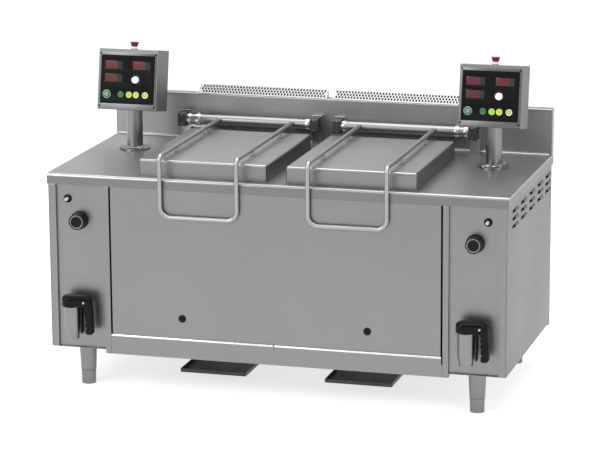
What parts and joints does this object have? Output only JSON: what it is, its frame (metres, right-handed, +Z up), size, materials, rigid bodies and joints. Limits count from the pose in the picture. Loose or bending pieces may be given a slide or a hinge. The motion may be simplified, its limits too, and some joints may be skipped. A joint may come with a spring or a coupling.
{
  "type": "pasta cooker",
  "caption": "Floor-standing steel pasta cooker with two lidded tanks, consoles on posts, drain taps, rear upstand and adjustable feet.",
  "frame": {"origin": "on the floor, under the middle of the part's bounding box", "axes": "+X to the right as seen from the front, +Y to the back, +Z up"},
  "size_m": [2, 1.0299, 1.4081],
  "materials": {
    "steel": "brushed stainless steel",
    "polished": "satin stainless steel",
    "dark_steel": "heat-darkened steel",
    "brass": "dull brass",
    "black": "black heat-proof plastic",
    "overlay": "dark panel overlay",
    "white": "white plastic",
    "red": "red plastic",
    "green": "green plastic",
    "yellow": "yellow plastic",
    "yellow_green": "yellow-green plastic"
  },
  "bodies": {
    "cabinet": {"worktop": "steel", "splashback": "steel", "splash_cove": "steel", "flue_vents": "steel", "flue_ducts": "dark_steel", "side_panel_left": "steel", "side_panel_right": "steel", "rear_panel": "steel", "front_panel": "steel", "lower_rails": "steel", "front_plugs": "black", "bay_panels": "steel", "front_posts": "steel", "floor_pan": "steel", "legs": "steel", "feet": "steel", "heat_trays": "steel", "tank_left": "steel", "tank_right": "steel", "burner_boxes": "dark_steel", "burners": "dark_steel", "gas_pipes": "brass", "gas_valves": "brass", "igniter_bodies": "black", "water_inlets": "steel", "terminal_box": "dark_steel", "drain_pipes": "steel", "drain_valves": "polished", "hinge_brackets": "steel", "hinge_blocks": "black", "console_posts": "polished", "console_housings": "steel", "console_faces": "overlay"},
    "lid_left": {"lid_left": "steel", "lid_arm_left": "polished"},
    "basket_left": {"basket_left": "polished"},
    "drain_handle_left": {"drain_handle_left": "black"},
    "drain_trigger_left": {"drain_trigger_left": "black"},
    "gas_knob_left": {"gas_knob_left": "black"},
    "igniter_button_left": {"igniter_button_left": "white"},
    "dial_left": {"dial_left": "white"},
    "stop_button_left": {"stop_button_left": "red"},
    "lid_right": {"lid_right": "steel", "lid_arm_right": "polished"},
    "basket_right": {"basket_right": "polished"},
    "drain_handle_right": {"drain_handle_right": "black"},
    "drain_trigger_right": {"drain_trigger_right": "black"},
    "gas_knob_right": {"gas_knob_right": "black"},
    "igniter_button_right": {"igniter_button_right": "white"},
    "dial_right": {"dial_right": "white"},
    "stop_button_right": {"stop_button_right": "red"},
    "key_left_1": {"key_left_1": "green"},
    "key_left_2": {"key_left_2": "green"},
    "key_left_3": {"key_left_3": "yellow_green"},
    "key_left_4": {"key_left_4": "yellow"},
    "key_left_5": {"key_left_5": "yellow"},
    "key_right_1": {"key_right_1": "green"},
    "key_right_2": {"key_right_2": "green"},
    "key_right_3": {"key_right_3": "yellow_green"},
    "key_right_4": {"key_right_4": "yellow"},
    "key_right_5": {"key_right_5": "yellow"}
  },
  "joints": [
    {"name": "lid_left_hinge", "type": "hinge", "parent": "cabinet", "child": "lid_left", "pos_m": [-0.358, 0.406, 1.026], "axis": [-1, 0, 0], "range_deg": [0, 80]},
    {"name": "basket_left_lift", "type": "slide", "parent": "cabinet", "child": "basket_left", "axis": [0, 0, 1], "range_m": [0, 0.12]},
    {"name": "drain_handle_left_turn", "type": "hinge", "parent": "cabinet", "child": "drain_handle_left", "pos_m": [-0.8835, -0.479, 0.39], "axis": [0, 0, -1], "range_deg": [0, 90]},
    {"name": "drain_trigger_left_pull", "type": "hinge", "parent": "drain_handle_left", "child": "drain_trigger_left", "pos_m": [-0.8235, -0.479, 0.39], "axis": [0, -1, 0], "range_deg": [0, 4.5], "stiffness_Nm_per_rad": 1.5},
    {"name": "gas_knob_left_turn", "type": "hinge", "parent": "cabinet", "child": "gas_knob_left", "pos_m": [-0.8595, -0.434, 0.733], "axis": [0, 1, 0], "range_deg": [0, 240]},
    {"name": "igniter_button_left_push", "type": "slide", "parent": "cabinet", "child": "igniter_button_left", "axis": [0, 1, 0], "range_m": [0, 0.004], "stiffness_N_per_m": 800},
    {"name": "dial_left_turn", "type": "hinge", "parent": "cabinet", "child": "dial_left", "pos_m": [-0.76972, 0.06425, 1.25472], "axis": [0, 0.9848, -0.1736], "continuous": true},
    {"name": "stop_button_left_push", "type": "slide", "parent": "cabinet", "child": "stop_button_left", "axis": [0, -0.1736, -0.9848], "range_m": [0, 0.006], "stiffness_N_per_m": 1500},
    {"name": "key_left_1_press", "type": "slide", "parent": "cabinet", "child": "key_left_1", "axis": [0, 0.9848, -0.1736], "range_m": [0, 0.002], "stiffness_N_per_m": 1000},
    {"name": "key_left_2_press", "type": "slide", "parent": "cabinet", "child": "key_left_2", "axis": [0, 0.9848, -0.1736], "range_m": [0, 0.002], "stiffness_N_per_m": 1000},
    {"name": "key_left_3_press", "type": "slide", "parent": "cabinet", "child": "key_left_3", "axis": [0, 0.9848, -0.1736], "range_m": [0, 0.002], "stiffness_N_per_m": 1000},
    {"name": "key_left_4_press", "type": "slide", "parent": "cabinet", "child": "key_left_4", "axis": [0, 0.9848, -0.1736], "range_m": [0, 0.002], "stiffness_N_per_m": 1000},
    {"name": "key_left_5_press", "type": "slide", "parent": "cabinet", "child": "key_left_5", "axis": [0, 0.9848, -0.1736], "range_m": [0, 0.002], "stiffness_N_per_m": 1000},
    {"name": "lid_right_hinge", "type": "hinge", "parent": "cabinet", "child": "lid_right", "pos_m": [0.358, 0.406, 1.026], "axis": [-1, 0, 0], "range_deg": [0, 80]},
    {"name": "basket_right_lift", "type": "slide", "parent": "cabinet", "child": "basket_right", "axis": [0, 0, 1], "range_m": [0, 0.12]},
    {"name": "drain_handle_right_turn", "type": "hinge", "parent": "cabinet", "child": "drain_handle_right", "pos_m": [0.8355, -0.479, 0.39], "axis": [0, 0, -1], "range_deg": [0, 90]},
    {"name": "drain_trigger_right_pull", "type": "hinge", "parent": "drain_handle_right", "child": "drain_trigger_right", "pos_m": [0.8955, -0.479, 0.39], "axis": [0, -1, 0], "range_deg": [0, 4.5], "stiffness_Nm_per_rad": 1.5},
    {"name": "gas_knob_right_turn", "type": "hinge", "parent": "cabinet", "child": "gas_knob_right", "pos_m": [0.8595, -0.434, 0.733], "axis": [0, 1, 0], "range_deg": [0, 240]},
    {"name": "igniter_button_right_push", "type": "slide", "parent": "cabinet", "child": "igniter_button_right", "axis": [0, 1, 0], "range_m": [0, 0.004], "stiffness_N_per_m": 800},
    {"name": "dial_right_turn", "type": "hinge", "parent": "cabinet", "child": "dial_right", "pos_m": [0.84628, 0.06425, 1.25472], "axis": [0, 0.9848, -0.1736], "continuous": true},
    {"name": "stop_button_right_push", "type": "slide", "parent": "cabinet", "child": "stop_button_right", "axis": [0, -0.1736, -0.9848], "range_m": [0, 0.006], "stiffness_N_per_m": 1500},
    {"name": "key_right_1_press", "type": "slide", "parent": "cabinet", "child": "key_right_1", "axis": [0, 0.9848, -0.1736], "range_m": [0, 0.002], "stiffness_N_per_m": 1000},
    {"name": "key_right_2_press", "type": "slide", "parent": "cabinet", "child": "key_right_2", "axis": [0, 0.9848, -0.1736], "range_m": [0, 0.002], "stiffness_N_per_m": 1000},
    {"name": "key_right_3_press", "type": "slide", "parent": "cabinet", "child": "key_right_3", "axis": [0, 0.9848, -0.1736], "range_m": [0, 0.002], "stiffness_N_per_m": 1000},
    {"name": "key_right_4_press", "type": "slide", "parent": "cabinet", "child": "key_right_4", "axis": [0, 0.9848, -0.1736], "range_m": [0, 0.002], "stiffness_N_per_m": 1000},
    {"name": "key_right_5_press", "type": "slide", "parent": "cabinet", "child": "key_right_5", "axis": [0, 0.9848, -0.1736], "range_m": [0, 0.002], "stiffness_N_per_m": 1000}
  ],
  "couplings": [
    {"joint": "basket_left_lift", "follows": "lid_left_hinge", "m_per_rad": 0.0859},
    {"joint": "basket_right_lift", "follows": "lid_right_hinge", "m_per_rad": 0.0859}
  ]
}
